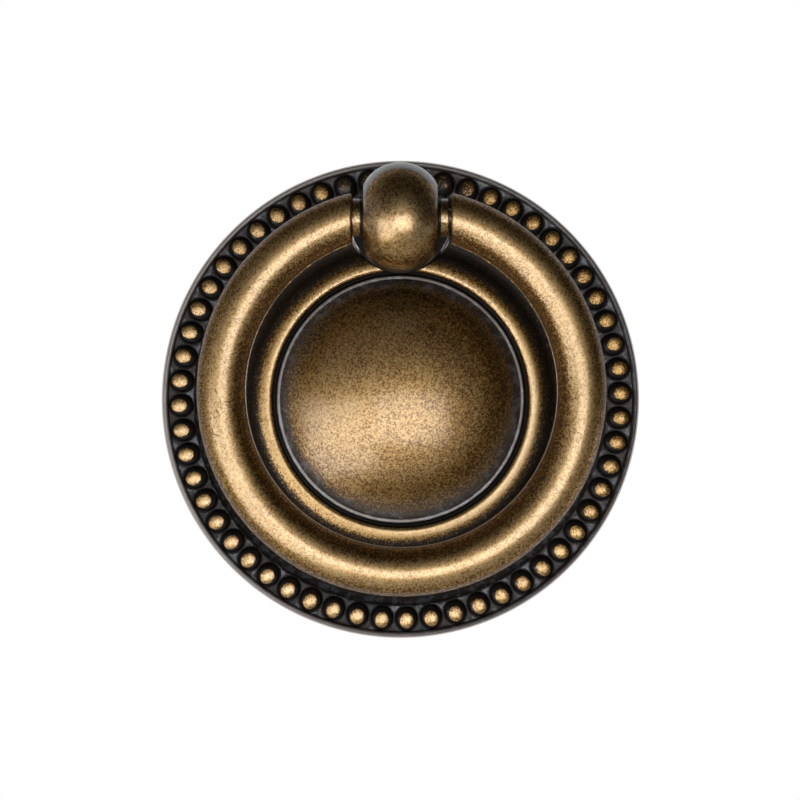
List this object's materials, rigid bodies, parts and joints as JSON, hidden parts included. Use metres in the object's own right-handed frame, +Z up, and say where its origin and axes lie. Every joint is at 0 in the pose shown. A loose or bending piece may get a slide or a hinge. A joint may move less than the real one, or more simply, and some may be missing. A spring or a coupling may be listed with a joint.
{
  "type": "ring pull handle",
  "caption": "Ring pull for a drawer or door: a domed round backplate with a beaded border, a flat-cheeked ball knuckle and a round ring that swings on a pin.",
  "frame": {"origin": "centre of the round backplate, on the plane of its back, which lies on the door or drawer front", "axes": "+Y out of the back into the door, so the front faces -Y; +Z up the door; +X to the right seen from the front"},
  "size_m": [0.054, 0.0172, 0.054],
  "materials": {
    "antique_brass_plate": "dark antique brass, brown-black in the hollows, rubbed to gold on the high parts",
    "antique_brass_knuckle": "antique brass, mottled gold and brown",
    "steel_pin": "plain drawn steel",
    "antique_brass_ring": "antique brass, mottled gold and brown, handled bright on the front"
  },
  "bodies": {
    "mount": {"backplate": "antique_brass_plate", "knuckle": "antique_brass_knuckle", "pivot_pin": "steel_pin"},
    "pull_ring": {"ring": "antique_brass_ring"}
  },
  "joints": [
    {"name": "ring_swing", "type": "hinge", "parent": "mount", "child": "pull_ring", "pos_m": [0, -0.011, 0.0202], "axis": [-1, 0, 0], "range_deg": [-9.5, 190]}
  ]
}
